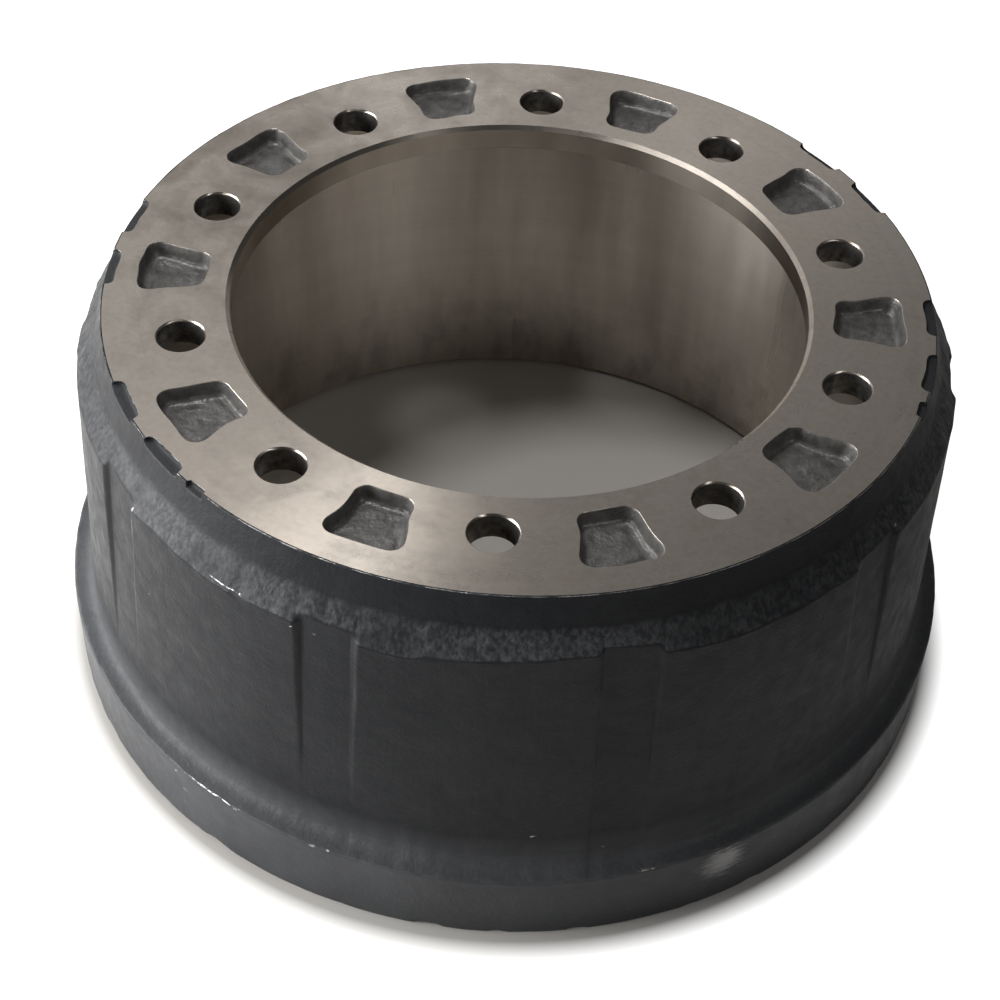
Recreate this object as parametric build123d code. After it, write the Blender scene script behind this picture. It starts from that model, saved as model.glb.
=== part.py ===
from build123d import *
import os
from math import degrees, radians, tan

# Brake drum for a heavy-truck wheel end: one grey-iron casting, turned, bored and drilled.
# Millimetres. The origin is the centre of the open end, +Z runs up to the mounting face,
# and +Y passes through a stud hole. The braking bore sets the outside, and the stud circle
# sets the pilot bore and the pockets.

# The turned faces and bores
height = 207.5
brake_diameter = 381
mouth_chamfer = 2.5
web_thickness = 14
web_corner = 6
pilot_to_stud_circle = 25
pilot_chamfer = 2

# The stud holes
stud_count = 10
stud_start = 90
stud_circle = 335
stud_hole = 23
stud_chamfer = 0.75

# The cast outside, as the thickness of its wall and the steps up from the open end
shoulder_wall = 28.3
barrel_foot_wall = 32.5
band_top_wall = 42.7
band_foot_wall = 41.8
band_height = 40.5
band_foot_chamfer = 1.5
cove_rise = 2
cove_radius = 9

# The flange, set in from the shoulder, and the neck that joins the two
flange_inset = 14.3
neck_flare = 5
neck_below_web = 2.5
shoulder_fall = 14

# The bell-shaped cast pockets between the stud holes
pocket_inner_side = 12.5
pocket_waist = 1
pocket_outer_side = 21.9
pocket_inner_width = 28
pocket_flank_hollow = 1.58
pocket_outer_width = 46
pocket_inner_corner = 4.5
pocket_outer_corner = 8.5
pocket_depth = 8
pocket_draft = 12

# The shallow cast channels down the barrel, one below each pocket but turned a little from it
channel_turn = -0.6
channel_floor_width = 25
channel_depth = 2.5
channel_side_angle = 50
channel_above_foot = 9.5
channel_floor_fillet = 3

# The cast notches round the edge of the mounting face, in pairs, and two small ones
notch_pair_angles = (36, 175, 215.5, 355.7)
notch_pair_spacing = 11.9
notch_width = 28
notch_reach = 4.7
notch_depth = 3
small_notch_angles = (229, 342)
small_notch_width = 11
small_notch_reach = 2.7

# How far a cut runs on past the metal
overrun = 1

# Worked out from the sizes above
brake_radius = brake_diameter / 2
shoulder_radius = brake_radius + shoulder_wall
barrel_foot_radius = brake_radius + barrel_foot_wall
band_top_radius = brake_radius + band_top_wall
band_foot_radius = brake_radius + band_foot_wall
flange_radius = shoulder_radius - flange_inset
neck_radius = flange_radius + neck_flare
stud_radius = stud_circle / 2
pilot_radius = stud_radius - pilot_to_stud_circle
web_z = height - web_thickness
neck_z = web_z - neck_below_web
shoulder_z = neck_z - shoulder_fall
barrel_foot_z = band_height + cove_rise
channel_foot_z = barrel_foot_z + channel_above_foot
stud_step = 360 / stud_count
pocket_start = stud_start + stud_step / 2


def barrel_radius_at(z):
    # The barrel widens evenly from the shoulder to the foot, so that the casting leaves its mould
    fall = (shoulder_z - z) / (shoulder_z - barrel_foot_z)
    return shoulder_radius + fall * (barrel_foot_radius - shoulder_radius)


def drum_section():
    # Radius and height of each corner, up the inside and down the outside; only the cove is rounded
    inner_side = [
        (brake_radius + mouth_chamfer, 0),
        (brake_radius, mouth_chamfer),
        (brake_radius, web_z - web_corner),
        (brake_radius - web_corner, web_z),
        (pilot_radius, web_z),
        (pilot_radius, height - pilot_chamfer),
        (pilot_radius + pilot_chamfer, height),
    ]
    cove = (barrel_foot_radius, barrel_foot_z)
    outer_side = [
        (flange_radius, height),
        (neck_radius, neck_z),
        (shoulder_radius, shoulder_z),
        cove,
        (band_top_radius, band_height),
        (band_foot_radius, band_foot_chamfer),
        (band_foot_radius - band_foot_chamfer, 0),
    ]
    corners = inner_side + outer_side
    rounds = [cove_radius if corner == cove else 0 for corner in corners]
    return Plane.XZ * make_face(FilletPolyline(*corners, radius=rounds, close=True))


def turned_drum():
    return revolve(drum_section(), Axis.Z)


def stud_hole_cut():
    # The drill, and the broken edge that it has on the mounting face
    drill = Pos(0, 0, web_z + web_thickness / 2) * Cylinder(stud_hole / 2, web_thickness + 2 * overrun)
    edge = Cone(stud_hole / 2, stud_hole / 2 + stud_chamfer, stud_chamfer)
    return Pos(stud_radius, 0, 0) * (drill + Pos(0, 0, height - stud_chamfer / 2) * edge)


def pocket_outline():
    # Wide side outward, with hollow flanks; the outer side follows the flange
    inner_x = stud_radius - pocket_inner_side
    waist_x = stud_radius + pocket_waist
    outer_radius = stud_radius + pocket_outer_side
    half_inner = pocket_inner_width / 2
    half_outer = pocket_outer_width / 2
    outer_x = (outer_radius**2 - half_outer**2) ** 0.5
    flare = (half_outer - half_inner) / (outer_x - inner_x)
    half_waist = half_inner + flare * (waist_x - inner_x) - pocket_flank_hollow
    sides = [
        Line((inner_x, half_inner), (inner_x, -half_inner)),
        ThreePointArc((inner_x, -half_inner), (waist_x, -half_waist), (outer_x, -half_outer)),
        ThreePointArc((outer_x, -half_outer), (outer_radius, 0), (outer_x, half_outer)),
        ThreePointArc((outer_x, half_outer), (waist_x, half_waist), (inner_x, half_inner)),
    ]
    return make_face(sides)


def upright_edges(solid):
    # From the axis outward
    rising = [edge for edge in solid.edges() if edge.bounding_box().size.Z > 0.5 * pocket_depth]
    return ShapeList(rising).sort_by(Axis.X)


def pocket_cut():
    # Drafted walls, so that the pattern lifts out, meeting in rounded corners
    mouth = Pos(0, 0, height) * pocket_outline()
    cut = extrude(mouth, amount=pocket_depth, dir=(0, 0, -1), taper=pocket_draft)
    cut = fillet(upright_edges(cut)[:2], pocket_inner_corner)
    return fillet(upright_edges(cut)[-2:], pocket_outer_corner)


def channel_floor_radius_at(z):
    # The floor runs out where the barrel has widened to meet it
    foot = barrel_radius_at(channel_foot_z)
    rise = (z - channel_foot_z) / (shoulder_z - channel_foot_z)
    return foot - rise * (foot - shoulder_radius + channel_depth)


def channel_section(z):
    # A floor that follows the barrel between two sloping sides, which run on outside the casting
    floor_radius = channel_floor_radius_at(z)
    outside_radius = band_top_radius + overrun
    floor_angle = degrees(channel_floor_width / 2 / shoulder_radius)
    side_run = (outside_radius - floor_radius) * tan(radians(channel_side_angle))
    outside_angle = floor_angle + degrees(side_run / outside_radius)
    floor = CenterArc((0, 0), floor_radius, -floor_angle, 2 * floor_angle)
    outside = CenterArc((0, 0), outside_radius, -outside_angle, 2 * outside_angle)
    shape = make_face([floor, outside, Line(floor @ 0, outside @ 0), Line(floor @ 1, outside @ 1)])
    floor_corners = shape.vertices().sort_by(Axis.X)[:2]
    return Pos(0, 0, z) * fillet(floor_corners, channel_floor_fillet)


def channel_cut():
    return loft([channel_section(neck_z), channel_section(channel_foot_z)], ruled=True)


def notch_cut(reach, width):
    # Cut in from the flange's edge, and swept about the axis with its middle on +X
    inner_radius = flange_radius - reach
    section = Polyline(
        (inner_radius, height - notch_depth),
        (neck_radius, height - notch_depth),
        (neck_radius, height + overrun),
        (inner_radius, height + overrun),
        close=True,
    )
    angle = degrees(width / flange_radius)
    cut = revolve(Plane.XZ * make_face(section), Axis.Z, revolution_arc=angle)
    return Rot(0, 0, -angle / 2) * cut


def notch_angles():
    half = notch_pair_spacing / 2
    return [angle + side for angle in notch_pair_angles for side in (-half, half)]


def turned_to(cut, angles):
    return [Rot(0, 0, angle) * cut for angle in angles]


def brake_drum():
    drum = turned_drum()
    studs = [stud_start + k * stud_step for k in range(stud_count)]
    pockets = [pocket_start + k * stud_step for k in range(stud_count)]
    channels = [angle + channel_turn for angle in pockets]
    drum -= turned_to(channel_cut(), channels)
    drum -= turned_to(pocket_cut(), pockets)
    drum -= turned_to(stud_hole_cut(), studs)
    drum -= turned_to(notch_cut(notch_reach, notch_width), notch_angles())
    drum -= turned_to(notch_cut(small_notch_reach, small_notch_width), small_notch_angles)
    return drum


os.makedirs("parts", exist_ok=True)
part = brake_drum()
export_step(part, "parts/brake_drum.step")
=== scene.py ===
import math
import bmesh
import bpy
import numpy as np
from mathutils import Matrix, Vector
from mathutils.geometry import delaunay_2d_cdt


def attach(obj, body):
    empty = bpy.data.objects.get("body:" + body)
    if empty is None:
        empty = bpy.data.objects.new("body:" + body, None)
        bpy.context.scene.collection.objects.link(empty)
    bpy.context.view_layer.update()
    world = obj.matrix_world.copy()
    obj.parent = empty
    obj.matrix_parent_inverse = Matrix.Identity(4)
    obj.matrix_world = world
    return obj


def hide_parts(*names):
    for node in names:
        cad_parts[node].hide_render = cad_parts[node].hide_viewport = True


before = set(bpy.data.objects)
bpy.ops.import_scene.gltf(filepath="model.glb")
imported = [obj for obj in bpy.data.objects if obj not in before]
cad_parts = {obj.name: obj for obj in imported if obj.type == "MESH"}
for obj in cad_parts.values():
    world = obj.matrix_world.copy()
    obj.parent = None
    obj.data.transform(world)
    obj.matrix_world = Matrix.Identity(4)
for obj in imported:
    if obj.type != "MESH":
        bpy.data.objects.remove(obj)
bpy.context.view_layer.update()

# A heavy-truck brake drum: one grey-iron casting, painted outside and turned where it fits.
# It is built as three closed rings that meet without a gap: the flange, the barrel and the band.
# Sizes are in millimetres, angles in degrees, counted anticlockwise from +X. Z is up the axle.
# A place on the drum's section is a complex number, its radius plus its height times 1j.

mm = 0.001
turn = 2 * math.pi


def lumps(x, y, seed, wrap=None):
    # Smooth random hills from about -1 to 1, one for each unit of x and y; x may close on itself
    tallest, margin = 1.6, 5
    across = wrap or int(np.max(x)) + margin
    up = int(np.max(y)) + margin
    hills = np.random.default_rng(seed).uniform(-tallest, tallest, (up, across))
    xCell, yCell = np.floor(x).astype(int), np.floor(y).astype(int)
    xPart, yPart = x - xCell, y - yCell
    total = np.zeros(np.broadcast(x, y).shape)
    for row, yShare in enumerate(splineShares(yPart)):
        for column, xShare in enumerate(splineShares(xPart)):
            total = total + hills[(yCell + row) % up, (xCell + column) % across] * xShare * yShare
    return total


def splineShares(part):
    # How much each of the four nearest hills counts, part of the way between the middle two
    return [(1 - part) ** 3 / 6, (3 * part**3 - 6 * part**2 + 4) / 6,
            (-3 * part**3 + 3 * part**2 + 3 * part + 1) / 6, part**3 / 6]


def skinLumps(angle, along, *kinds):
    # Lumps on the outer skin; each kind has a height, a width, a length down the skin and a seed
    total = 0
    for height, across, down, seed in kinds:
        count = round(turn * drum["skinRadius"] / across)
        total = total + height * lumps(np.radians(angle % 360) / turn * count, along / down + 1, seed, count)
    return total


def roundLumps(angle, *kinds):
    # Lumps on a line round the drum; each kind has a height, a spacing in degrees, a seed and a count
    return sum(height * lumps(angle / spacing, angle * 0, seed, count) for height, spacing, seed, count in kinds)


def smooth(low, high, value):
    share = np.clip((value - low) / max(high - low, 1e-9), 0, 1)
    return share * share * (3 - 2 * share)


def angleGap(angle, centre):
    return (angle - centre + 180) % 360 - 180


def turnedBy(degrees, x, y):
    way = math.radians(degrees)
    return x * math.cos(way) - y * math.sin(way), x * math.sin(way) + y * math.cos(way)


def addObject(name, data):
    added = bpy.data.objects.new(name, data)
    bpy.context.scene.collection.objects.link(added)
    return added


class Shape:
    # Points and faces gathered ring by ring, with the finish of each face
    def __init__(self):
        self.points, self.normals, self.bare = [], [], []
        self.faces, self.finishes, self.onSkin, self.level = [], [], [], []
        self.count = 0

    def addPoints(self, points, normals=None, bare=None):
        points = np.asarray(points, float)
        self.points.append(points)
        self.normals.append(np.zeros_like(points) if normals is None else normals)
        self.bare.append(np.zeros(len(points)) if bare is None else bare)
        self.count += len(points)
        return np.arange(self.count - len(points), self.count)

    def addAt(self, x, y, z):
        return self.addPoints(np.stack(np.broadcast_arrays(x, y, z), axis=1))

    def addRing(self, radius, height):
        turned = np.radians(boreAngles())
        return self.addAt(radius * np.cos(turned), radius * np.sin(turned), height)

    def addFaces(self, faces, finish, skin=False, level=False):
        self.faces += faces
        self.finishes += [finish] * len(faces)
        self.onSkin += [skin] * len(faces)
        self.level += [level] * len(faces)

    def joinRings(self, first, second, finish, skin=False):
        # Four-sided faces between two closed rings that have as many points
        faces = np.column_stack([first, np.roll(first, -1), np.roll(second, -1), second])
        self.addFaces(faces.tolist(), finish, skin)

    def bridge(self, first, firstAngles, second, finish):
        # Triangles between a ring of the skin and one with the bore's columns
        faces, i, j, secondAngles = [], 0, 0, boreAngles()
        while i < len(first) or j < len(second):
            nextFirst = firstAngles[i + 1] if i + 1 < len(first) else 360 + (i >= len(first))
            nextSecond = secondAngles[j + 1] if j + 1 < len(second) else 360 + (j >= len(second))
            a, b = first[i % len(first)], second[j % len(second)]
            if nextFirst <= nextSecond:
                i += 1
                faces.append([a, first[i % len(first)], b])
            else:
                j += 1
                faces.append([a, second[j % len(second)], b])
        self.addFaces(faces, finish)

    def fillFlat(self, outer, holes, height, spacing, finish):
        # A level face inside one closed loop and outside the others, with points spread over it
        where = np.concatenate(self.points)[:, :2]
        loops = [outer] + holes
        edge = where[np.concatenate(loops)]
        reach = np.abs(where[outer]).max()
        rowShare, clearance = 0.866, 0.55      # of the spacing: between rows, and off every edge
        steps = np.arange(-reach, reach, spacing)
        gridX, gridY = np.meshgrid(steps, steps * rowShare)
        gridX = gridX + spacing / 2 * (np.arange(len(steps)) % 2)[:, None]
        spread = np.column_stack([gridX.ravel(), gridY.ravel()])
        spread = spread[insideLoops(spread, where, loops)]
        near = [np.min(np.sum((edge - point) ** 2, axis=1)) for point in spread]
        spread = spread[np.array(near) > (clearance * spacing) ** 2]
        added = self.addAt(*spread.T, height)
        numbers = np.concatenate(loops + [added])
        coordinates = [Vector(point) for point in np.concatenate([edge, spread])]
        edges, start = [], 0
        for loop in loops:
            edges += [(start + k, start + (k + 1) % len(loop)) for k in range(len(loop))]
            start += len(loop)
        result = delaunay_2d_cdt(coordinates, edges, [], 0, 1e-6)
        original = [numbers[found[0]] for found in result[3]]
        triangles = np.array([[original[k] for k in face] for face in result[2]])
        where = np.concatenate(self.points)[:, :2]
        centres = where[triangles].mean(axis=1)
        kept = triangles[insideLoops(centres, where, loops)]
        self.addFaces(kept.tolist(), finish, level=True)


def insideLoops(points, where, loops):
    inside = insideLoop(points, where[loops[0]])
    for hole in loops[1:]:
        inside &= ~insideLoop(points, where[hole])
    return inside


def insideLoop(points, loop):
    # Even or odd crossings of a line from each point; far points are left out first
    low, high = loop.min(axis=0), loop.max(axis=0)
    inside = np.all((points > low) & (points < high), axis=1)
    tested = points[inside]
    x, y = tested[:, 0:1], tested[:, 1:2]
    x1, y1 = loop[:, 0], loop[:, 1]
    x2, y2 = np.roll(x1, -1), np.roll(y1, -1)
    rise = np.where(y2 == y1, 1e-9, y2 - y1)
    crosses = ((y1 > y) != (y2 > y)) & (x < (x2 - x1) * (y - y1) / rise + x1)
    inside[inside] = crosses.sum(axis=1) % 2 == 1
    return inside


def makePiece(name, shape, finishes):
    # One closed mesh, its faces turned outward, with the skin's own normals where rings meet
    mesh = bpy.data.meshes.new(name)
    points = np.concatenate(shape.points)
    mesh.from_pydata((points * mm).tolist(), [], shape.faces)
    mesh.polygons.foreach_set("material_index", shape.finishes)
    for finish in finishes:
        mesh.materials.append(finish)
    worked = bmesh.new()
    worked.from_mesh(mesh)
    bmesh.ops.recalc_face_normals(worked, faces=worked.faces)
    openEdges = sum(1 for edge in worked.edges if len(edge.link_faces) != 2)
    worked.to_mesh(mesh)
    worked.free()
    mesh.set_sharp_from_angle(angle=math.radians(drum["sharpAngle"]))
    mesh.polygons.foreach_set("use_smooth", [not level for level in shape.level])
    bareness = mesh.attributes.new("bare", "FLOAT", "POINT")
    bareness.data.foreach_set("value", np.concatenate(shape.bare).astype(np.float32))
    keepSkinNormals(mesh, shape)
    triangles = sum(len(face) - 2 for face in shape.faces)
    print(f"{name}: {len(points)} points, {triangles} triangles, {openEdges} open edges")
    return addObject(name, mesh)


def keepSkinNormals(mesh, shape):
    # The skin's corners take the normals worked out on the whole grid, so the rings show no joint
    given = np.concatenate(shape.normals)
    corners = np.zeros(len(mesh.loops) * 3, np.float32)
    mesh.corner_normals.foreach_get("vector", corners)
    corners = corners.reshape(-1, 3)
    pointOf = np.zeros(len(mesh.loops), np.int32)
    mesh.loops.foreach_get("vertex_index", pointOf)
    sizes = [len(face) for face in shape.faces]
    onSkin = np.repeat(np.array(shape.onSkin), sizes)
    corners[onSkin] = given[pointOf[onSkin]]
    mesh.normals_split_custom_set(corners.tolist())


drum = {
    "height": 207.5,
    "skinRadius": 218.8,       # the radius at which distances round the skin are counted
    "boreColumns": 600,
    "faceSpacing": 6.5, "webSpacing": 8,       # between the points spread over the flat faces
    "sharpAngle": 32,
    "rowsAboveCove": 4,        # where the barrel and the band meet on the skin
    "seed": 41,
}

# The skin's columns stand closer beside the sides of the channels and at the ends of the notches
skinColumns = {
    "spacing": 1.75,
    # Spacing there, how far it holds on each side, and its middle's distance out from the side or end
    "channel": (0.65, 5, 1.3), "notch": (0.36, 1.7, -0.6),
    "spread": 0.35,            # how fast the spacing grows away from them
}

channel = {
    "first": 107.4, "step": 36, "count": 10,
    "halfFloor": 12.5,
    "depth": 2.5, "furthestDepth": 2.9, "cutSpare": 0.25,
    "topHeight": 177, "footHeight": 52,
    "sideSlope": 1.19,         # run of a side for each millimetre of depth
    "softness": 0.95,
    "wander": (0.35, 60, 14, 19),
    # Painted shade with some dirt in the corner of the floor, and how far down the side it lies
    "dirtAndShadeLumps": (0.5, 3, 9, 20), "dirtAndShade": 0.6, "dirtAndShadeAt": 0.72, "dirtAndShadeWidth": 0.2, "dirtAndShadeDepth": 1.2,
    "dirtShade": 0.62,
}

notch = {
    # Angles, with the half width and reach of each
    "pairs": (36, 175, 215.5, 355.7), "pairSpacing": 11.9, "pairSize": (14, 4.7),
    "singles": (229, 342), "singleSize": (5.5, 2.7),
    "cornerPower": 9,          # a higher power makes squarer corners
    "ragged": ((0.5, 1.9, 6, 190), (0.2, 0.8, 9, 450)),
    # Rows down into the notch: share of the way out to the flange's edge, and the place from there
    "section": ((0, 0), (0, 0.06 - 0.45j), (0, 0.3 - 2.2j), (0, 0.9 - 2.85j), (0.55, -3.05j), (1, 0.55 - 3.1j),
                (1, 1.05 - 3.5j)),
}

neck = {
    "edgeRadius": 204.5, "crease": 209.5 + 191j,
    "burr": 0.22, "burrLeast": 0.55, "burrLumps": (0.45, 0.7, 5, 514), "burrRow": 3,
    # Rows round the plain edge, from the edge
    "section": (-0.5, -0.36 - 0.28j, -0.1 - 0.5j, 0.16 - 0.24j, 0.46 - 0.65j, 0.6 - 1.4j, 0.9 - 2.6j),
}

shoulder = {
    "radius": 218.8,
    # Height of the parting line where it strays, by angle
    "strays": ((-146, 177), (-140.3, 174.8), (-136.6, 177.4), (-126.6, 174.8), (-120.4, 175.1),
               (-115, 176.1), (-98.9, 176.1), (-92.6, 179.6), (-83.2, 182.4), (-80, 183.2),
               (-76.6, 182.6), (-69.6, 179), (-60, 177)),
    "height": 177,
    "wander": ((0.9, 5, 7, 72), (0.35, 1.5, 8, 240)),
}

band = {
    "barrelFoot": 223 + 42.5j, "top": 233.2 + 40.5j, "foot": 232.3, "mouth": 193,
    "footRings": (202, 211, 220, 226),
}

# Each bend of the section: how soft it is, its rows, and how far apart the rows stand on the way to it
bends = {
    "crease": (2.4, 5, 1.7),
    "seam": (1.7, 5, 1.35),
    "cove": (7.2, 11, 2.2),
    "bandTop": (1.5, 6, 1.5),
    "foot": (1.5, 6, 2.0),
}

# What the sand left: the height, width, length and seed of each kind of lump, and where it counts
castSkin = {
    "everywhere": ((0.28, 46, 60, 11), (0.13, 12, 13, 12), (0.07, 4.6, 5.4, 13)),
    "strokes": (1, 3.4, 30, 14), "strokesOnSlope": 0.22, "strokesInCove": 0.2,
    "slope": (0.2, 5.4, 6, 15), "slopeFade": (2, 3), "coveFade": 7,
    "edgeRows": (4, 10),       # it grows between these rows
    "heightKept": 8,           # and down to this one it moves nothing up or down
    "flash": 0.35, "flashLeast": 0.5, "flashLumps": (0.9, 4.2, 9, 16), "flashRows": 0.9,
    "bandTop": (0.3, 3.6, 9, 17), "bandTopSunk": 0.15, "bandTopRows": 1.8,
    "chips": (1, 5.5, 9, 18), "chipsFrom": 0.42, "chipDepth": 3.2, "chipRows": 2.2,
}

# How bare the metal is: at the turned face, along the burr, and inside the notches' edge
bareEdge = {
    "face": 0.35,
    "burr": 0.62, "burrLumps": (0.5, 1.1, 21, 327),
    "notch": 0.55, "notchLumps": (0.7, 0.8, 22, 450), "notchRow": 1,
    "painted": (2, 6),         # rows of a notch that are painted
}


def channelCentres():
    return [channel["first"] + channel["step"] * k for k in range(channel["count"])]


def notches():
    # Angle, half width in degrees, and reach of each notch
    degree = 360 / (turn * neck["edgeRadius"])
    large = [pair + side * notch["pairSpacing"] for pair in notch["pairs"] for side in (-0.5, 0.5)]
    found = []
    for angles, (half, reach) in ((large, notch["pairSize"]), (notch["singles"], notch["singleSize"])):
        found += [(angle, half * degree, reach) for angle in angles]
    return found


def skinAngles():
    degree = 360 / (turn * drum["skinRadius"])
    sides = [(centre, channel["halfFloor"] * degree, "channel") for centre in channelCentres()]
    sides += [(angle, half, "notch") for angle, half, reach in notches()]
    fine = []
    for centre, half, kind in sides:
        spacing, reach, shift = skinColumns[kind]
        fine += [(centre + way * (half + shift * degree), reach * degree, spacing) for way in (-1, 1)]
    angles, at = [], 0.0
    while at < 360:
        angles.append(at)
        step = skinColumns["spacing"]
        for centre, reach, spacing in fine:
            away = max(0.0, abs(angleGap(at, centre)) - reach) / degree
            step = min(step, spacing + skinColumns["spread"] * away)
        at += step * degree
    return np.array(angles) * 360 / at


def bend(before, corner, after, softness, steps):
    # A rounded corner between two straight legs; each may differ from column to column
    way1 = (before - corner) / np.abs(before - corner)
    way2 = (after - corner) / np.abs(after - corner)
    shares = np.linspace(0, 1, steps)
    return [corner + (1 - share) ** 2 * softness * way1 + share**2 * softness * way2 for share in shares]


def leg(rows, target, step):
    # Straight on from the last row to the target, leaving out both ends
    start, way = rows[-1], target - rows[-1]
    count = max(1, round(float(np.max(np.abs(way))) / step))
    rows += [start + k / count * way for k in range(1, count)]


def channelShare(angle, depth, wander):
    # 1 on a channel's floor, 0 on the panels, and rounded up the sides between
    degree = 360 / (turn * drum["skinRadius"])
    nearest = np.min([np.abs(angleGap(angle, centre)) for centre in channelCentres()], axis=0)
    across = nearest / degree + wander
    sideRun = channel["sideSlope"] * depth
    outer = channel["halfFloor"] + sideRun + channel["softness"]
    return smooth(0, 1, (outer - across) / (sideRun + 2 * channel["softness"]))


def notchShare(angle):
    # 0 along the plain edge and 1 in a notch, and how far in the notch reaches
    share, reach = np.zeros_like(angle), np.full_like(angle, notch["pairSize"][1])
    for centre, half, depth in notches():
        across = np.abs(angleGap(angle, centre)) / half
        inside = across < 1
        share[inside] = np.sqrt(1 - across[inside] ** notch["cornerPower"])
        reach[inside] = depth
    return share, reach


def edgeRows(angle):
    # From the turned face over its burr to the painted side, or down into a notch
    share, reach = notchShare(angle)
    burr = neck["burr"] * (neck["burrLeast"] + roundLumps(angle, neck["burrLumps"]))
    inset = roundLumps(angle, *notch["ragged"]) * share - reach
    edge = neck["edgeRadius"] + 1j * drum["height"]
    rows = []
    for row, (plain, (across, cut)) in enumerate(zip(neck["section"], notch["section"])):
        plain = edge + plain + 1j * burr * (row == neck["burrRow"])
        cut = edge + cut + inset * (1 - across)
        rows.append(plain + (cut - plain) * share)
    return rows


def outerRows(angle):
    # The place of each row of the skin, from the turned face down to the foot
    strays = np.array(shoulder["strays"])
    seamHeight = np.interp(angleGap(angle, 0), strays[:, 0], strays[:, 1], shoulder["height"], shoulder["height"])
    seamHeight = seamHeight + roundLumps(angle, *shoulder["wander"])
    rows, marks = edgeRows(angle), {}
    corners = [rows[-1], neck["crease"], shoulder["radius"] + 1j * seamHeight, band["barrelFoot"], band["top"],
               band["foot"], band["mouth"]]
    for k, (name, (softness, steps, spacing)) in enumerate(bends.items()):
        bent = bend(*corners[k:k + 3], softness, steps)
        leg(rows, bent[0], spacing)
        marks[name] = (len(rows), len(rows) + steps)
        rows += bent
    return np.array([row + 0 * angle for row in rows]), marks


def between(rows, start, full, end, over):
    # 1 from one row to another, fading in before them and out after them
    return smooth(start, full, rows) * (1 - smooth(end, over, rows))


def nearRow(rows, mark, width):
    # 1 at the middle of a bend, and nothing some rows away from it
    return np.exp(-((rows - np.mean(mark) + 0.5) / width) ** 2)


def castRelief(rows, wide, along, marks):
    # How far the sand left the skin out or in: waves, lumps, and strokes that run up and down
    look = castSkin
    crease, seam, cove, bandTop, foot = marks.values()
    onSlope = between(rows, crease[0] - look["slopeFade"][0], crease[1], seam[0], seam[1] + look["slopeFade"][1])
    inCove = between(rows, cove[0] - look["coveFade"], cove[0], cove[1], bandTop[0])
    cast = skinLumps(wide, along, *look["everywhere"])
    stroked = look["strokesOnSlope"] * onSlope + look["strokesInCove"] * inCove
    cast = cast + stroked * skinLumps(wide, along, look["strokes"])
    cast = cast + onSlope * skinLumps(wide, along, look["slope"])
    cast = cast * smooth(*look["edgeRows"], rows)

    # The parting line's flash, the ragged top of the band, and the chipped foot
    flash = look["flashLeast"] + skinLumps(wide, along * 0, look["flashLumps"])
    cast = cast + nearRow(rows, seam, look["flashRows"]) * look["flash"] * flash
    ragged = skinLumps(wide, along * 0, look["bandTop"]) - look["bandTopSunk"]
    cast = cast + nearRow(rows, bandTop, look["bandTopRows"]) * ragged
    chips = np.clip(skinLumps(wide, along * 0, look["chips"]) - look["chipsFrom"], 0, 1)
    return cast - nearRow(rows, foot, look["chipRows"]) * look["chipDepth"] * chips


def sinkChannels(radius, height, wide, along):
    # The channels take the barrel's skin in, and run out upward on the shoulder's slope
    run = (channel["topHeight"] - height) / (channel["topHeight"] - channel["footHeight"])
    depth = np.clip(channel["depth"] * (1 - run), 0, channel["furthestDepth"])
    foot = band["barrelFoot"]
    fall = np.clip((shoulder["height"] - height) / (shoulder["height"] - foot.imag), -1, 1)
    barrelRadius = shoulder["radius"] + fall * (foot.real - shoulder["radius"])
    over = radius - (barrelRadius - depth)
    wander = skinLumps(wide, along, channel["wander"])
    sunk = channelShare(wide, depth, wander) * np.where(over > 0, over, 0)
    return np.minimum(sunk, depth + channel["cutSpare"]), depth


def channelDirtAndShade(wide, along, depth):
    # Painted shade with some dirt: darker where each channel's floor meets its sides
    corner = (channelShare(wide, depth, 0) - channel["dirtAndShadeAt"]) / channel["dirtAndShadeWidth"]
    lying = np.exp(-(corner**2)) * np.clip(depth / channel["dirtAndShadeDepth"], 0, 1)
    return np.clip(lying * (channel["dirtAndShade"] + skinLumps(wide, along, channel["dirtAndShadeLumps"])), 0, 1)


def skinGrid(angle):
    # The whole outer skin: its points, their normals, how bare they are, and where it is parted
    section, marks = outerRows(angle)
    along = np.vstack([np.zeros_like(angle), np.cumsum(np.abs(np.diff(section, axis=0)), axis=0)])
    out = 1j * np.gradient(section, axis=0)
    out /= np.abs(out)
    wide = np.broadcast_to(angle, section.shape)
    rows = np.arange(len(section))[:, None] + 0 * wide
    cast = castRelief(rows, wide, along, marks)
    radius = section.real + out.real * cast
    height = section.imag + out.imag * cast * (rows > castSkin["heightKept"])
    sunk, depth = sinkChannels(radius, height, wide, along)
    onBarrel = (rows > marks["crease"][1]) & (rows < marks["cove"][1])
    radius = np.minimum(radius - np.where(onBarrel, sunk, 0), band["top"].real)
    dirtAndShade = channelDirtAndShade(wide, along, depth)
    height = np.clip(height, 0, drum["height"])
    turned = np.radians(wide)
    points = np.stack([radius * np.cos(turned), radius * np.sin(turned), height], axis=2)
    goRound = np.roll(points, -1, axis=1) - np.roll(points, 1, axis=1)
    normals = np.cross(np.gradient(points, axis=0), goRound)
    normals /= np.linalg.norm(normals, axis=2, keepdims=True)

    # Bare metal along the burr, and in bits along the inner edge of each notch
    share, reach = notchShare(angle)
    bare = np.zeros(radius.shape)
    bare[0] = bareEdge["face"]
    bare[neck["burrRow"]] = (1 - share) * (bareEdge["burr"] + roundLumps(angle, bareEdge["burrLumps"]))
    bare[bareEdge["notchRow"]] = share * (bareEdge["notch"] + roundLumps(angle, bareEdge["notchLumps"]))
    first, last = bareEdge["painted"]
    bare[first:last] -= share
    # Bareness below nothing darkens the paint: painted shade with some dirt in the channels' corners
    bare -= channel["dirtShade"] * dirtAndShade * onBarrel
    return points, normals, bare, int(np.mean(marks["crease"])), marks["cove"][0] - drum["rowsAboveCove"]


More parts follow.
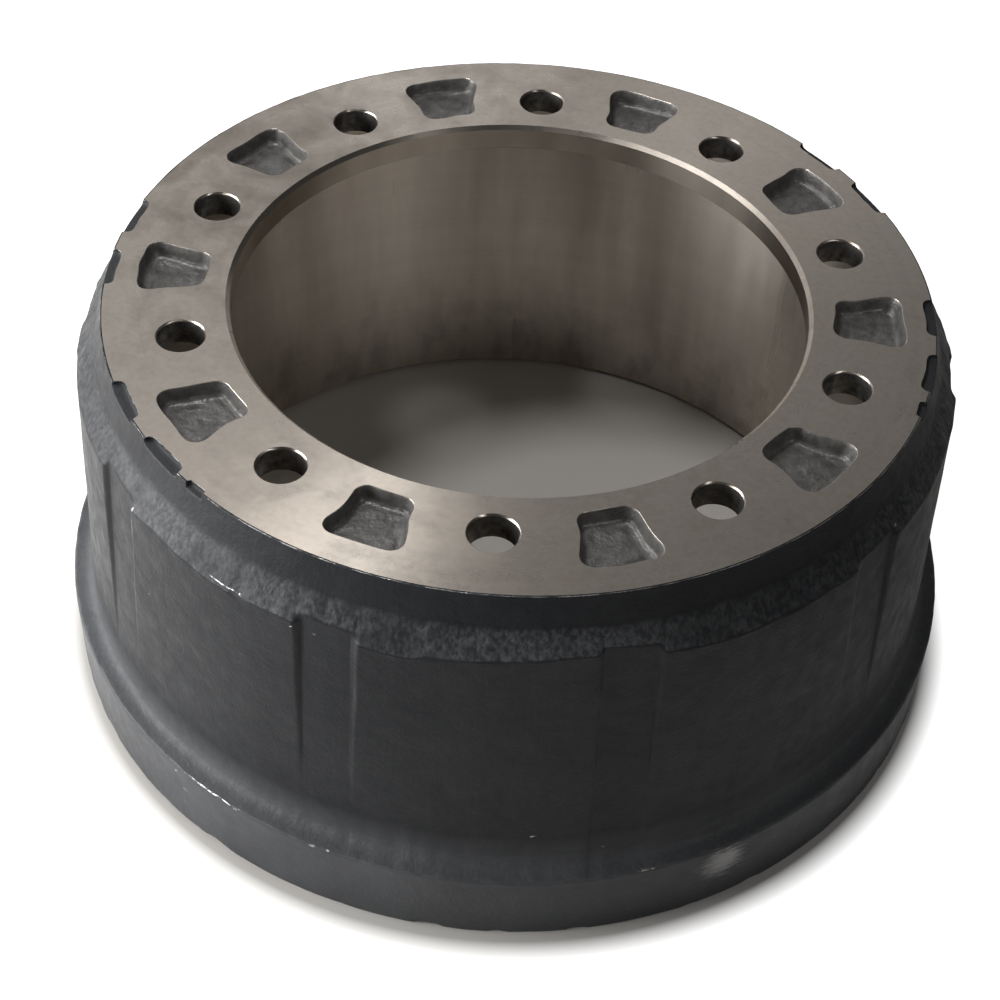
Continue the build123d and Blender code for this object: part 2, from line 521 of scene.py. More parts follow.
def addSkin(shape, grid, first, last):
    # Rows first to last of the skin, as rings of the shape's points
    points, normals, bare = grid[:3]
    rings = [shape.addPoints(points[row], normals[row], bare[row]) for row in range(first, last + 1)]
    for upper, lower in zip(rings, rings[1:]):
        shape.joinRings(upper, lower, paint, skin=True)
    return rings


# The numbers of the finishes, the same on each piece
paint, turnedMetal, boredMetal, drilledMetal, rawIron = range(5)


bore = {
    "radius": 190.5,
    "mouthRadius": 193, "mouthHeight": 2.5,
    "webCorner": 6, "webHeight": 193.5,
    "pilotRadius": 142.5, "pilotChamfer": 2, "brokenEdge": 0.6,
    "rowStep": 13,
    "partingHeight": 54,       # and where they meet on this side
}


def addWall(shape, radius, low, high, lower, finish):
    # A bored wall that goes up from a ring, and the ring at its top
    count = max(1, round((high - low) / bore["rowStep"]))
    for k in range(1, count + 1):
        upper = shape.addRing(radius, low + (high - low) * k / count)
        shape.joinRings(lower, upper, finish)
        lower = upper
    return lower


def boreAngles():
    return np.arange(drum["boreColumns"]) * 360 / drum["boreColumns"]


studs = {
    "first": 90, "count": 10,
    "circleRadius": 167.5,
    "radius": 11.5, "chamfer": 0.75, "ease": 0.1, "belowChamfer": 0.3,
    "footChamfer": 0.3, "footRise": 0.35,
    "points": 72,
}


def addStudHole(shape, angle):
    # Its loops on the mounting face and on the hub side
    around = np.arange(studs["points"]) * turn / studs["points"]
    middleX, middleY = turnedBy(angle, studs["circleRadius"], 0)
    radius, chamfer = studs["radius"], studs["chamfer"]
    top, web = drum["height"], bore["webHeight"]
    loops = []
    for r, z in ((radius + chamfer, top), (radius + studs["ease"], top - chamfer + studs["ease"]),
                 (radius, top - chamfer - studs["belowChamfer"]), (radius, (top + web) / 2),
                 (radius, web + studs["footRise"]), (radius + studs["footChamfer"], web)):
        loops.append(shape.addAt(middleX + r * np.cos(around), middleY + r * np.sin(around), z))
    finishes = [turnedMetal, turnedMetal] + [drilledMetal] * 3
    for upper, lower, finish in zip(loops, loops[1:], finishes):
        shape.joinRings(upper, lower, finish)
    return loops[0], loops[-1]


pocket = {
    "first": 108, "count": 10,
    "innerX": 155, "waistX": 168.5, "outerRadius": 189.4,
    "halfInner": 14, "halfWaist": 15.5, "halfOuter": 23,
    "innerCorner": 6, "outerCorner": 9.8,
    "depth": 8, "draft": 12, "floorFillet": 2.6,
    # Loops of points down the pocket: over the rim, down the wall by depth, round the foot by angle
    "rim": ((-0.3, 0), (-0.06, 0.16), (0.08, 0.42)), "wall": (1.6, 3.0, 4.4), "foot": (12, 30, 48, 68, 90),
    "middleX": 172,
    "searchReach": 40.0, "searchSteps": 34,    # how far from its middle, and how closely, a loop is found
    "points": 132, "floorRings": 10,
    "rimWander": 1.1, "rimLumps": 13,
    "roughFrom": 0.6, "roughBelow": 6, "wallRoughness": 0.35,
    # Lumps of the floor: how high, how wide, and what is added to the pocket's seed
    "floorLumps": ((0.5, 9, 100), (0.2, 4, 200)), "corner": (120, -60),
}


def flankCircle():
    # The circle through the three points of a hollow flank
    outerX = math.sqrt(pocket["outerRadius"] ** 2 - pocket["halfOuter"] ** 2)
    a = complex(pocket["innerX"], pocket["halfInner"])
    b = complex(pocket["waistX"], pocket["halfWaist"])
    c = complex(outerX, pocket["halfOuter"])
    w = (c - a) / (b - a)
    centre = (b - a) * (w - abs(w) ** 2) / (2j * w.imag) + a
    return centre.real, centre.imag, abs(a - centre)


def roundedMeet(a, b, radius):
    # The larger of two distances, with a rounded corner where they meet
    return np.minimum(np.maximum(a, b), -radius) + np.hypot(np.maximum(a + radius, 0), np.maximum(b + radius, 0))


def pocketDistance(x, y):
    # How far a point lies outside the pocket's outline; less than nothing inside
    cx, cy, radius = flankCircle()
    flank = math.copysign(1, cy) * (radius - np.hypot(x - cx, np.abs(y) - cy))
    inner = pocket["innerX"] - x
    outer = np.hypot(x, y) - pocket["outerRadius"]
    return roundedMeet(roundedMeet(inner, flank, pocket["innerCorner"]), outer, pocket["outerCorner"])


def pocketLoop(level, around):
    # Distance from the pocket's middle, along each ray, at which the outline is so far away
    low, high = np.zeros_like(around), np.full_like(around, pocket["searchReach"])
    for _ in range(pocket["searchSteps"]):
        mid = (low + high) / 2
        x, y = pocket["middleX"] + mid * np.cos(around), mid * np.sin(around)
        outside = pocketDistance(x, y) > level
        high, low = np.where(outside, mid, high), np.where(outside, low, mid)
    return low


def pocketLevels():
    # Each loop's distance in from the rim, and its depth: rim, drafted wall, rounded foot
    draft = math.radians(pocket["draft"])
    slope = math.tan(draft)
    fillet, depth = pocket["floorFillet"], pocket["depth"]
    bottom = depth - fillet + fillet * math.sin(draft)
    centre = bottom * slope + fillet * math.cos(draft)
    levels = list(pocket["rim"]) + [(down * slope, down) for down in pocket["wall"]]
    for degrees in pocket["foot"]:
        way = math.radians(degrees)
        levels.append((centre - fillet * math.cos(way), depth - fillet + fillet * math.sin(way)))
    return levels


def addPocket(shape, angle, seed):
    # The loop on the mounting face; the wall and floor are rough, and no two pockets are the same
    around = np.arange(pocket["points"]) * turn / pocket["points"]
    count = pocket["rimLumps"]
    wander = pocket["rimWander"] * lumps(around / turn * count, around * 0 + 1, seed, count)
    rings = []
    for inset, depth in pocketLevels():
        rings.append((pocketLoop(wander - inset, around), depth))
    floorEdge = rings[-1][0]
    for share in np.linspace(1, 0, pocket["floorRings"] + 1)[1:-1]:
        rings.append((floorEdge * share, pocket["depth"]))
    loops = []
    for number, (reach, depth) in enumerate(rings):
        x, y = pocket["middleX"] + reach * np.cos(around), reach * np.sin(around)
        rough = pocketRoughness(x, y, seed) * smooth(pocket["roughFrom"], pocket["roughBelow"], depth)
        z = drum["height"] - depth + rough
        x = x + pocket["wallRoughness"] * rough * (number >= len(pocket["rim"]))
        loops.append(shape.addAt(*turnedBy(angle, x, y), z))
    for number, (upper, lower) in enumerate(zip(loops, loops[1:])):
        shape.joinRings(upper, lower, turnedMetal if number == 0 else rawIron)
    x = np.array([pocket["middleX"]])
    z = drum["height"] - pocket["depth"] + pocketRoughness(x, x * 0, seed)
    tip = shape.addAt(*turnedBy(angle, x, 0), z)[0]
    last = loops[-1]
    shape.addFaces([[last[k], last[(k + 1) % len(last)], tip] for k in range(len(last))], rawIron)
    return loops[0]


def pocketRoughness(x, y, seed):
    x, y = x - pocket["corner"][0], y - pocket["corner"][1]
    return sum(height * lumps(x / size, y / size, seed + further) for height, size, further in pocket["floorLumps"])


def makeFlange(grid, angles, finishes):
    shape = Shape()
    rings = addSkin(shape, grid, 0, grid[3])
    top, web = drum["height"], bore["webHeight"]
    corner, pilot, chamfer, broken = bore["webCorner"], bore["pilotRadius"], bore["pilotChamfer"], bore["brokenEdge"]
    boreTop = shape.addRing(bore["radius"], web - corner)
    webEdge = shape.addRing(bore["radius"] - corner, web)
    pilotRings = [shape.addRing(radius, height) for radius, height in (
        (pilot + broken, web), (pilot, web + broken), (pilot, (web + top) / 2), (pilot, top - chamfer),
        (pilot + chamfer, top))]
    shape.bridge(rings[-1], angles, boreTop, rawIron)
    shape.joinRings(boreTop, webEdge, boredMetal)
    for lower, upper, finish in zip(pilotRings, pilotRings[1:], (turnedMetal, boredMetal, boredMetal, turnedMetal)):
        shape.joinRings(lower, upper, finish)
    upperLoops, lowerLoops = [pilotRings[-1]], [pilotRings[0]]
    for k in range(studs["count"]):
        upper, lower = addStudHole(shape, studs["first"] + k * 360 / studs["count"])
        upperLoops.append(upper)
        lowerLoops.append(lower)
    for k in range(pocket["count"]):
        upperLoops.append(addPocket(shape, pocket["first"] + k * 360 / pocket["count"], drum["seed"] + k))
    shape.fillFlat(rings[0], upperLoops, top, drum["faceSpacing"], turnedMetal)
    shape.fillFlat(webEdge, lowerLoops, web, drum["webSpacing"], turnedMetal)
    return makePiece("drumFlange", shape, finishes)


def makeBarrel(grid, angles, finishes):
    shape = Shape()
    rings = addSkin(shape, grid, grid[3], grid[4])
    low, high = bore["partingHeight"], bore["webHeight"] - bore["webCorner"]
    boreLow = shape.addRing(bore["radius"], low)
    boreHigh = addWall(shape, bore["radius"], low, high, boreLow, boredMetal)
    shape.bridge(rings[0], angles, boreHigh, rawIron)
    shape.bridge(rings[-1], angles, boreLow, rawIron)
    return makePiece("drumBarrel", shape, finishes)


def makeBand(grid, angles, finishes):
    shape = Shape()
    rings = addSkin(shape, grid, grid[4], len(grid[0]) - 1)
    mouth = shape.addRing(bore["mouthRadius"], 0)
    boreFoot = shape.addRing(bore["radius"], bore["mouthHeight"])
    boreHigh = addWall(shape, bore["radius"], bore["mouthHeight"], bore["partingHeight"], boreFoot, boredMetal)
    previous = mouth
    for radius in band["footRings"]:
        ring = shape.addRing(radius, 0)
        shape.joinRings(previous, ring, turnedMetal)
        previous = ring
    shape.bridge(rings[-1], angles, previous, turnedMetal)
    shape.joinRings(mouth, boreFoot, turnedMetal)
    shape.bridge(rings[0], angles, boreHigh, rawIron)
    return makePiece("drumBand", shape, finishes)


def addNode(near, kind, inputs=None, **settings):
    # A node in the same tree as a socket; its inputs are plain values or the sockets that feed them
    tree = near.id_data
    node = tree.nodes.new(kind)
    for name, value in settings.items():
        setattr(node, name, value)
    for name, value in (inputs or {}).items():
        if isinstance(value, bpy.types.NodeSocket):
            tree.links.new(value, node.inputs[name])
        else:
            node.inputs[name].default_value = value
    return node


def startFinish(name, shader):
    # A new material, its principled shader and the point's place on the drum
    material = bpy.data.materials.new(name)
    material.use_nodes = True
    principled = material.node_tree.nodes["Principled BSDF"]
    for key, value in shader.items():
        principled.inputs[key].default_value = value
    place = addNode(principled, "ShaderNodeTexCoord").outputs["Object"]
    return material, principled, place


def connect(node, sockets):
    for name, socket in sockets.items():
        node.id_data.links.new(socket, node.inputs[name])


def calculate(operation, a, b=0.0):
    return addNode(a, "ShaderNodeMath", {0: a, 1: b}, operation=operation).outputs[0]


def measure(operation, a, b=(0, 0, 0)):
    # A number from one or two directions
    return addNode(a, "ShaderNodeVectorMath", {0: a, 1: b}, operation=operation).outputs["Value"]


def addUp(*parts, clamp=False):
    # The sum of the values, each times its share
    total = None
    for value, share in parts:
        part = value if share == 1 else calculate("MULTIPLY", value, share)
        if total is None:
            total = part
        else:
            total = addNode(part, "ShaderNodeMath", {0: total, 1: part}, use_clamp=clamp).outputs[0]
    return total


def remap(value, low, high, toLow=0.0, toHigh=1.0):
    values = {"Value": value, "From Min": low, "From Max": high, "To Min": toLow, "To Max": toHigh}
    return addNode(value, "ShaderNodeMapRange", values).outputs[0]


def remapSize(value, low, high, *span):
    # The same for a length, between two in millimetres
    return remap(value, low * mm, high * mm, *span)


def grain(place, size, detail, roughness, distortion=0.0, stretch=None):
    # Noise whose lumps are about so many millimetres wide
    if stretch:
        place = addNode(place, "ShaderNodeMapping", {"Vector": place, "Scale": stretch}).outputs[0]
    values = {"Vector": place, "Scale": 1000 / size, "Detail": detail, "Roughness": roughness,
              "Distortion": distortion}
    return addNode(place, "ShaderNodeTexNoise", values).outputs["Fac"]


def patches(place, noise, span):
    # Noise taken between two levels, and brought to between 0 and 1 or two others
    return remap(grain(place, *noise), *span)


def mixColours(share, first, second):
    # Each colour is a socket or three numbers
    first, second = (value if isinstance(value, bpy.types.NodeSocket) else (*value, 1.0)
                     for value in (first, second))
    return addNode(share, "ShaderNodeMix", {0: share, 6: first, 7: second}, data_type="RGBA").outputs[2]


def mixValues(share, first, second):
    return addNode(share, "ShaderNodeMix", {0: share, 2: first, 3: second}, data_type="FLOAT").outputs[0]


def bump(height, distance):
    values = {"Height": height, "Distance": distance * mm, "Strength": 1.0}
    return addNode(height, "ShaderNodeBump", values).outputs[0]


def aroundAxle(place):
    # Distance from the axle and height in metres, and angle in radians
    split = addNode(place, "ShaderNodeSeparateXYZ", {0: place}).outputs
    squares = [calculate("POWER", split[k], 2.0) for k in (0, 1)]
    radius = calculate("SQRT", calculate("ADD", *squares))
    return radius, split[2], calculate("ARCTAN2", split[1], split[0])


def startGrooved(name, look):
    # Bright metal with grooves round the axle, in rings that differ outward and upward
    shader = {"Metallic": 1.0, "Anisotropic": look["anisotropy"], "Anisotropic Rotation": 0.25}
    material, principled, place = startFinish(name, shader)
    radius, height, angle = aroundAxle(place)
    outward, upward = look["across"]
    values = {0: calculate("MULTIPLY", radius, outward), 1: calculate("MULTIPLY", height, upward)}
    ringPlace = addNode(place, "ShaderNodeCombineXYZ", values).outputs[0]
    tangent = addNode(place, "ShaderNodeTangent", direction_type="RADIAL", axis="Z").outputs[0]
    connect(principled, {"Tangent": tangent})
    return material, principled, place, height, grain(ringPlace, *look["rings"]), grain(ringPlace, *look["wideRings"])


# In the finishes a noise is its size in millimetres, detail, roughness, distortion and stretch, then
# come the levels it is taken between, and a share says how much of a thing is added
castPaint = {
    "colour": (0.0108, 0.0115, 0.0131),
    "dusty": (0.029, 0.03, 0.0323),
    "clouds": ((55, 4.0, 0.6), (0.35, 0.75)), "cloudShare": 0.35,
    "strokes": ((3.2, 3.0, 0.65, 0, (1, 1, 0.09)), (0.45, 0.8, 0, 0.16)),
    "specks": ((0.9, 2.0, 0.6), (0.55, 0.8, 0, 0.5)),
    "handled": (0.076, 0.078, 0.082), "handledHeight": (62, 48, 0, 0.85), "handledClouds": (0, 1, 0.65, 1.0),
    # Dust that settled in the sandy skin where it faces up
    "settledDust": (0.072, 0.074, 0.078), "settlesFacing": (0.36, 0.56),
    "sand": (2.3, 3.0, 0.6, 0, (1, 1, 0.45)), "sandHolds": (0.38, 0.66, 0.15, 1.0),
    "settledClouds": (0, 1, 0.5, 1.0),
    "bareMetal": (0.33, 0.325, 0.315), "bareMetallic": 0.85, "bareRoughness": 0.36,
    # The paint's tone inside the notches, and painted shade with some dirt in the channels' corners
    "inNotches": (0.03, 0.031, 0.033), "inCorners": (0.0045, 0.0045, 0.005), "notchHeight": (194, 200),
    "hollowFrom": (-0.1, -0.8), "hollowRoughness": 0.6,
    "shine": 0.088,
    "gloss": ((9, 4.0, 0.6), (0.3, 0.7, 0.34, 0.51)),
    "grain": (1.6, 3.0, 0.6), "grainDepth": 0.2,
    "coarse": (5.5, 2.0, 0.5), "coarseShare": 1.2,
    "stroked": (2.6, 2.0, 0.5, 0, (1, 1, 0.12)), "strokedShare": 0.2,
    "nickRadius": 225,
    # Angle, height, half length, half width and tilt of each nick through the paint
    "nicks": (
        (-140.3, 175.6, 1.3, 0.7, 60), (-140.5, 163, 7.5, 0.2, 88), (-139.2, 137.3, 0.6, 0.5, 0),
        (-137.1, 130.8, 1.2, 0.45, 50), (-123.0, 176.7, 9, 0.26, -1), (-120.3, 176.6, 1.1, 0.6, 0),
        (-112.9, 173.8, 0.9, 0.45, 20), (-110.2, 171.6, 0.6, 0.45, 0), (-124.0, 40.1, 16, 0.26, 0),
        (-120.0, 39.4, 1.4, 0.8, 10), (-130.0, 36.0, 1.0, 0.6, 60), (-128.6, 25.7, 1.3, 0.4, 0),
        (-129.0, 14.5, 0.9, 0.5, 40), (-109.3, 39.8, 1.8, 0.5, 0), (-107.2, 40.3, 0.9, 0.35, 0),
        (-133.2, 1.8, 5, 0.5, 0), (-127.2, 1.2, 4, 0.45, 0), (-121.9, 1.4, 3.5, 0.5, 0),
        (-82.9, 63.5, 1.7, 0.32, 15), (-74.1, 51.7, 0.7, 0.45, 0), (-69.1, 40.6, 4, 0.25, 0),
        (-32.3, 181.3, 0.8, 0.6, 0), (35, 176, 1.2, 0.4, 20), (68, 40.2, 6, 0.26, 0),
        (102, 120, 1.8, 0.26, 70), (131, 40.1, 4, 0.3, 0), (150, 1.4, 4, 0.5, 0), (22, 1.3, 5, 0.5, 0),
    ),
    "breakUp": (1.5, 3.0, 0.65), "breakUpShare": 2.4, "nicked": (0.1, 0.4),
    "nickGaps": ((2.6, 3.0, 0.6), (0.4, 0.58, 0.12, 1)),
    "burrBreakUp": 0.8, "burr": (0.72, 0.98),
    # Angle, height, half length and half height of the patch that was rubbed against something
    "rubbedAt": (-59.0, 28.5, 13.5, 12.5),
    "scratches": (1.7, 3.0, 0.7, 0, (0.16, 1.35, 1)), "scratchShare": 2.3,
    "rubbed": (0.2, 0.75, 0, 0.55),
}


def markDistance(unrolled, degrees, z, length, width, tilt=0):
    # How far away a mark's middle is, where 1 is its outline
    there = (math.radians(degrees) * castPaint["nickRadius"] * mm, z * mm, 0)
    values = {"Vector": unrolled, "Location": there, "Rotation": (0, 0, math.radians(tilt)),
              "Scale": (length * mm, width * mm, 1)}
    return measure("LENGTH", addNode(unrolled, "ShaderNodeMapping", values, vector_type="TEXTURE").outputs[0])


def worn(place, height, angle, given):
    # Where the paint is off: nicks, the burr of the flange, and level scratches in the rubbed patch
    look = castPaint
    around = calculate("MULTIPLY", angle, look["nickRadius"] * mm)
    unrolled = addNode(place, "ShaderNodeCombineXYZ", {0: around, 1: height}).outputs[0]
    nearest = None
    for nick in look["nicks"]:
        away = markDistance(unrolled, *nick)
        nearest = away if nearest is None else calculate("MINIMUM", nearest, away)
    breakUp = grain(place, *look["breakUp"])
    nicked = calculate("SUBTRACT", calculate("MULTIPLY", breakUp, look["breakUpShare"]), nearest)
    nicked = calculate("MULTIPLY", remap(nicked, *look["nicked"]),
                       patches(place, *look["nickGaps"]))
    scratches = calculate("MULTIPLY", grain(unrolled, *look["scratches"]), look["scratchShare"])
    rubbed = calculate("SUBTRACT", scratches, markDistance(unrolled, *look["rubbedAt"]))
    rubbed = remap(rubbed, *look["rubbed"])
    burr = remap(addUp((given, 1), (breakUp, look["burrBreakUp"])), *look["burr"])
    return calculate("MAXIMUM", calculate("MAXIMUM", nicked, burr), rubbed)


def paintedFinish():
    look = castPaint
    shader = {"Specular IOR Level": look["shine"]}
    material, principled, place = startFinish("castPaint", shader)
    radius, height, angle = aroundAxle(place)
    given = addNode(place, "ShaderNodeAttribute", attribute_name="bare").outputs["Fac"]
    bare = worn(place, height, angle, given)

    # Dust and rubbing lighten the paint in clouds and in strokes that run up and down
    clouds = patches(place, *look["clouds"])
    strokes = patches(place, *look["strokes"])
    specks = patches(place, *look["specks"])
    dusty = addUp((clouds, look["cloudShare"]), (strokes, 1), (specks, 1), clamp=True)
    shade = mixColours(dusty, look["colour"], look["dusty"])
    handled = calculate("MULTIPLY", remapSize(height, *look["handledHeight"]), remap(clouds, *look["handledClouds"]))
    shade = mixColours(handled, shade, look["handled"])
    normal = addNode(place, "ShaderNodeNewGeometry").outputs["Normal"]
    facingUp = addNode(place, "ShaderNodeSeparateXYZ", {0: normal}).outputs[2]
    sandy = grain(place, *look["sand"])
    patchy = calculate("MULTIPLY", remap(sandy, *look["sandHolds"]),
                       remap(clouds, *look["settledClouds"]))
    settled = calculate("MULTIPLY", remap(facingUp, *look["settlesFacing"]), patchy)
    shade = mixColours(settled, shade, look["settledDust"])
    shade = mixColours(bare, shade, look["bareMetal"])
    # Where bareness is below nothing the paint takes another tone: painted shade with some dirt in the channels'
    # corners, and the notches' own tone inside them
    hollow = remap(given, *look["hollowFrom"])
    dirtAndShade = mixColours(remapSize(height, *look["notchHeight"]), look["inCorners"], look["inNotches"])
    shade = mixColours(hollow, shade, dirtAndShade)
    gloss = mixValues(hollow, patches(place, *look["gloss"]), look["hollowRoughness"])

    # The sand's grain under the paint
    relief = addUp((grain(place, *look["grain"]), 1),
                   (grain(place, *look["coarse"]), look["coarseShare"]),
                   (grain(place, *look["stroked"]), look["strokedShare"]), (sandy, settled))
    connect(principled, {
        "Base Color": shade,
        "Metallic": calculate("MULTIPLY", bare, look["bareMetallic"]),
        "Roughness": mixValues(bare, gloss, look["bareRoughness"]),
        "Normal": bump(relief, look["grainDepth"])})
    return material


turnedFace = {
    "colour": (0.392, 0.354, 0.314),
    "stain": (0.235, 0.203, 0.173),
    "blotches": ((26, 5.0, 0.62, 0.4), (0.4, 0.72)), "blotchShare": 0.5,
    "spots": ((3.2, 4.0, 0.7), (0.42, 0.85, 0, 0.35)),
    # The lathe's marks: rings of uneven depth, the same all the way round
    "rings": (0.9, 3.0, 0.7), "ringShare": 0.25, "ringDepth": 0.02,
    "wideRings": (7, 2.0, 0.5), "wideRingDepth": 1.5, "wideRingGloss": 0.06,
    "across": (1, 0.3),
    "roughness": (0.24, 0.39),
    "anisotropy": 0.78,
}


def turnedFinish():
    look = turnedFace
    material, principled, place, height, rings, wideRings = startGrooved("turnedFace", look)
    blotches = patches(place, *look["blotches"])
    stained = addUp((blotches, look["blotchShare"]), (patches(place, *look["spots"]), 1), (rings, look["ringShare"]),
                    clamp=True)
    dull = addUp((remap(blotches, 0, 1, *look["roughness"]), 1), (wideRings, look["wideRingGloss"]))
    relief = addUp((rings, 1), (wideRings, look["wideRingDepth"]))
    connect(principled, {
        "Base Color": mixColours(stained, look["colour"], look["stain"]),
        "Roughness": dull,
        "Normal": bump(relief, look["ringDepth"])})
    return material


boredWall = {
    "colour": (0.7, 0.636, 0.562),
    "stain": (0.34, 0.306, 0.27),
    "streaks": (22, 3.0, 0.55, 0, (1, 1, 0.12)), "streaked": (0.36, 0.64, 0, 0.32),
    # Darker patches that grow towards the bottom of the bore: partly smudges, partly painted shade low in the bore
    "smudgeAndShade": (0.2, 0.165, 0.14),
    "smudgesAndShade": ((17, 4.0, 0.6, 0, (1, 1, 0.6)), (0.46, 0.66)),
    "paintedShadeHeight": (80, 20, 0, 0.45),
    "rings": (0.8, 3.0, 0.7), "ringShare": 0.3, "ringDepth": 0.025,
    "wideRings": (9, 3.0, 0.5), "wideRingShare": 0.25,
    "across": (0.3, 1),
    "gloss": (0.3, 0.7, 0.27, 0.38),
    "pilotRoughness": 0.23, "pilotHeight": (192, 193),
    "anisotropy": 0.88,
}


def boredFinish():
    look = boredWall
    material, principled, place, height, rings, wideRings = startGrooved("boredWall", look)
    streaks = grain(place, *look["streaks"])
    stained = addUp((rings, look["ringShare"]), (remap(streaks, *look["streaked"]), 1),
                    (wideRings, look["wideRingShare"]), clamp=True)
    # Darker patches, stronger towards the bottom of the bore: smudges, and painted shade low in the bore
    smudgesAndShade = patches(place, *look["smudgesAndShade"])
    shade = mixColours(stained, look["colour"], look["stain"])
    smudgesAndShade = calculate("MULTIPLY", smudgesAndShade, remapSize(height, *look["paintedShadeHeight"]))
    shade = mixColours(smudgesAndShade, shade, look["smudgeAndShade"])
    dull = mixValues(remapSize(height, *look["pilotHeight"]), remap(streaks, *look["gloss"]), look["pilotRoughness"])
    connect(principled, {
        "Base Color": shade, "Roughness": dull,
        "Normal": bump(calculate("ADD", rings, wideRings), look["ringDepth"])})
    return material


holeWall = {
    "colour": (0.19, 0.183, 0.175), "stain": (0.06, 0.058, 0.055),
    "stains": ((4, 4.0, 0.6), (0.35, 0.7)),
    "roughness": (0.38, 0.58),
    "drillMarks": (0.7, 2.0, 0.6, 0, (0.1, 0.1, 1)), "drillDepth": 0.05,
}


def drilledFinish():
    look = holeWall
    material, principled, place = startFinish("holeWall", {"Metallic": 1.0})
    stained = patches(place, *look["stains"])
    marks = grain(place, *look["drillMarks"])
    connect(principled, {
        "Base Color": mixColours(stained, look["colour"], look["stain"]),
        "Roughness": remap(stained, 0, 1, *look["roughness"]),
        "Normal": bump(marks, look["drillDepth"])})
    return material


rawCast = {
    "colour": (0.138, 0.132, 0.125), "dark": (0.043, 0.041, 0.04),
    "lumps": (4.6, 3.0, 0.5), "lumpsDark": (0.35, 0.7, 0, 0.6),
    "specks": (1.5, 2.0, 0.5), "specksDark": (0.45, 0.75, 0, 0.3), "speckDepth": 0.5, "depth": 0.42,
    "gloss": (0.3, 0.7, 0.34, 0.54), "metallic": 0.4,
}


def rawFinish():
    look = rawCast
    material, principled, place = startFinish("rawCast", {"Metallic": look["metallic"]})
    lumpy = grain(place, *look["lumps"])
    specks = grain(place, *look["specks"])
    darker = addUp((remap(lumpy, *look["lumpsDark"]), 1), (remap(specks, *look["specksDark"]), 1),
                   clamp=True)
    connect(principled, {
        "Base Color": mixColours(darker, look["colour"], look["dark"]),
        "Roughness": remap(specks, *look["gloss"]),
        "Normal": bump(addUp((specks, look["speckDepth"]), (lumpy, 1)), look["depth"])})
    return material


stage = {
    "floorSize": 12.0,
    "floorColour": (0.46, 0.445, 0.423), "floorRoughness": 0.9,
    "floorFibres": ((60, 3.0, 0.5), (0.3, 0.7, 0.985, 1.0)),
    # The paper shines white to the eye, but not beside and inside the drum, where its shadow lies
    "floorGlow": 0.95, "glowRadius": (231.5, 244),
    "shadowShift": (0, -6),
    "surround": 0.07,
    # Where reflections find the room and the floor brightest, and how bright the other side is
    "room": {"angle": 145, "elevation": -35, "span": (-0.14, 0.11), "dimmest": 0.05},
    "floor": {"angle": -140, "elevation": 0, "span": (-0.26, 0.2), "dimmest": 0.11},
}

# Each light's angle and height round the drum in degrees, its distance and size in metres
lights = {
    "side": {"angle": 195, "elevation": 10, "distance": 1.05, "size": 1.0, "power": 30},
    "top": {"angle": 158, "elevation": 72, "distance": 1.3, "size": 0.34, "power": 8.0},
    "rear": {"angle": 99, "elevation": 18, "distance": 1.5, "size": 0.45, "power": 1.1},
    "streak": {"angle": -46, "elevation": 31, "distance": 1.4, "size": 0.36, "power": 2.6},
}


def direction(look):
    # Towards an angle round the drum and a height above level
    turned, raised = math.radians(look["angle"]), math.radians(look["elevation"])
    return Vector((math.cos(turned) * math.cos(raised), math.sin(turned) * math.cos(raised), math.sin(raised)))


def sideShine(place, look):
    # White to the eye; reflections find it dimmer towards the side away from this direction,
    # and light that spreads doesn't find it at all
    rays = addNode(place, "ShaderNodeLightPath").outputs
    seen = calculate("MAXIMUM", rays["Is Camera Ray"], rays["Is Glossy Ray"])
    seen = calculate("MAXIMUM", seen, rays["Is Transmission Ray"])
    shine = remap(measure("DOT_PRODUCT", place, direction(look)), *look["span"], look["dimmest"], 1)
    return calculate("MULTIPLY", seen, calculate("MAXIMUM", rays["Is Camera Ray"], shine))


def makeFloor():
    half = stage["floorSize"] / 2
    mesh = bpy.data.meshes.new("floor")
    mesh.from_pydata([(-half, -half, 0), (half, -half, 0), (half, half, 0), (-half, half, 0)], [], [(0, 1, 2, 3)])
    floor = addObject("floor", mesh)
    shader = {"Roughness": stage["floorRoughness"], "Specular IOR Level": 0.0, "Emission Color": (1, 1, 1, 1)}
    material, principled, place = startFinish("floorPaper", shader)
    fibres = patches(place, *stage["floorFibres"])
    shiftX, shiftY = stage["shadowShift"]
    shadowPlace = addNode(place, "ShaderNodeVectorMath", {0: place, 1: (shiftX * mm, shiftY * mm, 0)},
                          operation="SUBTRACT").outputs[0]
    radius, height, angle = aroundAxle(shadowPlace)
    shine = calculate("MULTIPLY", sideShine(place, stage["floor"]), remapSize(radius, *stage["glowRadius"]))
    connect(principled, {
        "Base Color": mixColours(fibres, (0, 0, 0), stage["floorColour"]),
        "Emission Strength": calculate("MULTIPLY", shine, stage["floorGlow"])})
    mesh.materials.append(material)


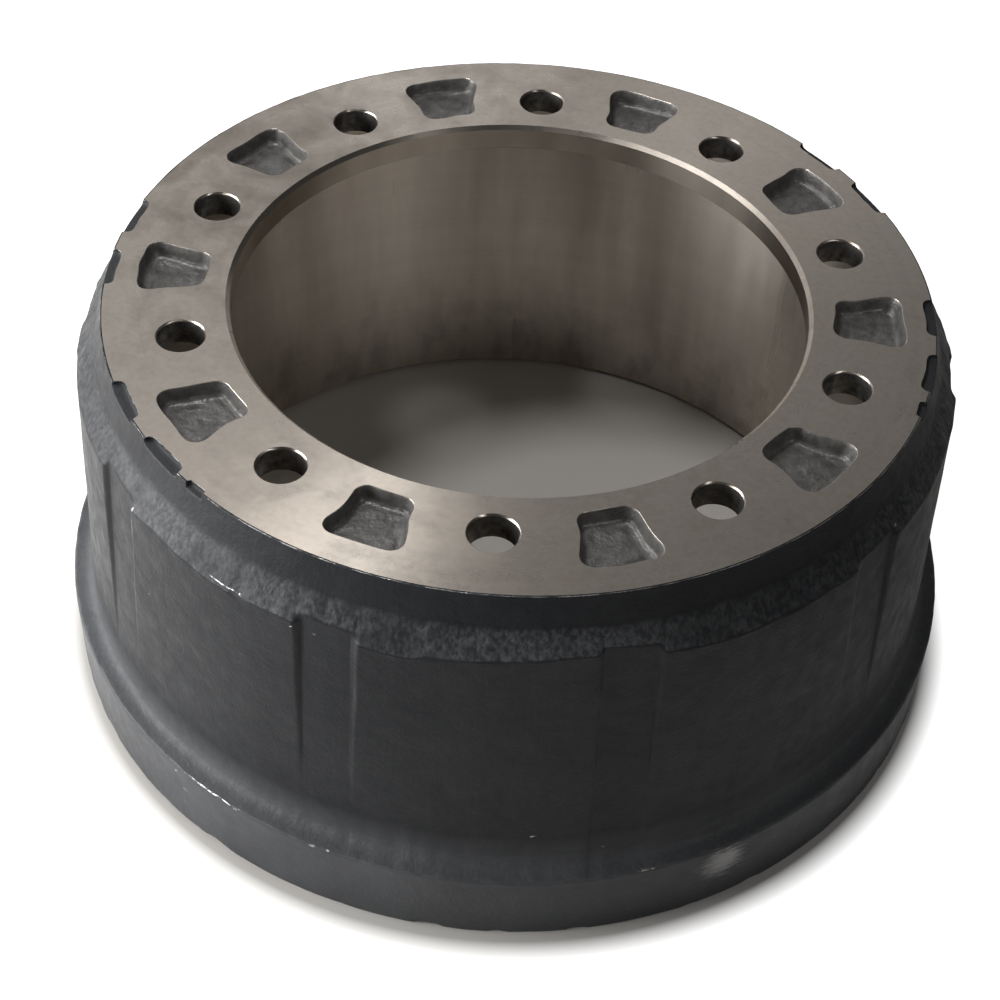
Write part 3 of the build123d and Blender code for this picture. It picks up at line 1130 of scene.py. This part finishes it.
def makeRoom():
    world = bpy.data.worlds.new("surround")
    bpy.context.scene.world = world
    world.use_nodes = True
    background = world.node_tree.nodes["Background"]
    outward = addNode(background, "ShaderNodeTexCoord").outputs["Generated"]
    shine = calculate("MAXIMUM", sideShine(outward, stage["room"]), stage["surround"])
    connect(background, {"Color": addNode(shine, "ShaderNodeCombineXYZ", {0: shine, 1: shine, 2: shine}).outputs[0]})


def makeLight(name, look):
    lamp = bpy.data.lights.new(name, "AREA")
    lamp.shape = "DISK"
    lamp.size = look["size"]
    lamp.energy = look["power"]
    light = addObject(name, lamp)
    away = direction(look)
    light.location = Vector((0, 0, drum["height"] / 2 * mm)) + away * look["distance"]
    light.rotation_euler = away.to_track_quat("Z", "Y").to_euler()


camera = {
    "angle": -87.59, "elevation": 44.243, "roll": 2.903,
    "target": (1.33, -146.57, 207.5),
    "distance": 967.68,
    "lens": 78.34, "sensor": 36,
    "nearest": 50,             # nothing closer than this is seen
}


def makeCamera():
    back = direction(camera)
    right = Vector((0, 0, 1)).cross(back).normalized()
    up = back.cross(right)
    roll = math.radians(camera["roll"])
    rolledRight = math.cos(roll) * right + math.sin(roll) * up
    rolledUp = math.cos(roll) * up - math.sin(roll) * right
    data = bpy.data.cameras.new("camera")
    data.lens = camera["lens"]
    data.sensor_width = camera["sensor"]
    data.clip_start = camera["nearest"] * mm
    viewer = addObject("camera", data)
    place = (Vector(camera["target"]) + back * camera["distance"]) * mm
    facing = Matrix((rolledRight, rolledUp, back)).transposed().to_4x4()
    viewer.matrix_world = Matrix.Translation(place) @ facing
    bpy.context.scene.camera = viewer


print("making the stage and the camera")
makeFloor()
makeRoom()
for name, look in lights.items():
    makeLight(name, look)
makeCamera()

print("making the finishes")
finishes = [paintedFinish(), turnedFinish(), boredFinish(), drilledFinish(), rawFinish()]

print("making the skin")
angles = skinAngles()
grid = skinGrid(angles)
print(f"the skin has {len(angles)} columns and {len(grid[0])} rows")

print("making the three rings of the drum")
for piece in (makeFlange(grid, angles, finishes), makeBarrel(grid, angles, finishes),
              makeBand(grid, angles, finishes)):
    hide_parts("brake_drum")
    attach(piece, "root")

bpy.context.scene.view_settings.view_transform = "Standard"
